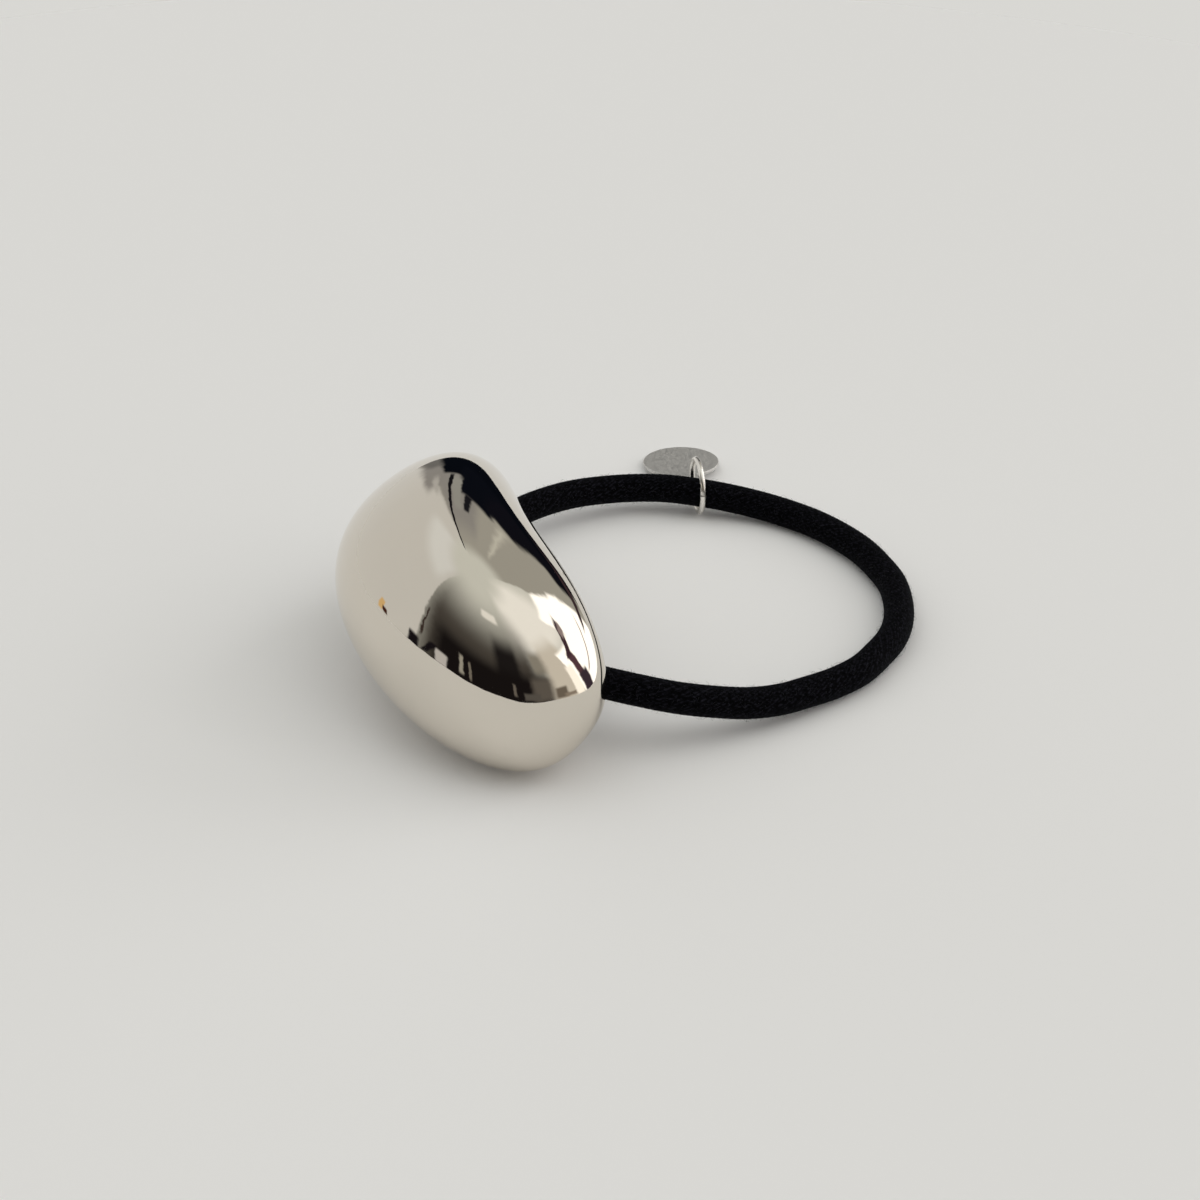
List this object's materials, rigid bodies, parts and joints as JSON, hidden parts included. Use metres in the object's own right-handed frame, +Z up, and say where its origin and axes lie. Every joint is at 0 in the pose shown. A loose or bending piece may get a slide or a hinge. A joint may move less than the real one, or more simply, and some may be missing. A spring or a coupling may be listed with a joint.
{
  "type": "metal cuff hair tie",
  "caption": "Plump polished metal cuff, open towards the hair, threaded on a round elastic loop that carries a small disc on a split jump ring.",
  "frame": {"origin": "on the table under the middle of the cuff's box", "axes": "+X from the cuff to the elastic loop, +Y along the cuff to its back tip, +Z up"},
  "size_m": [0.0768, 0.0781, 0.0281],
  "materials": {
    "cuff_metal": "mirror polished silver plate",
    "bar_metal": "plain wire, unpolished",
    "elastic_braid": "matte black braid with a fine fuzz over a rubber core",
    "ring_metal": "bright plated wire",
    "disc_metal": "satin, bare of any mark"
  },
  "bodies": {
    "root": {"cuff": "cuff_metal", "bar": "bar_metal", "elastic": "elastic_braid", "jump_ring": "ring_metal", "disc": "disc_metal"}
  },
  "joints": []
}
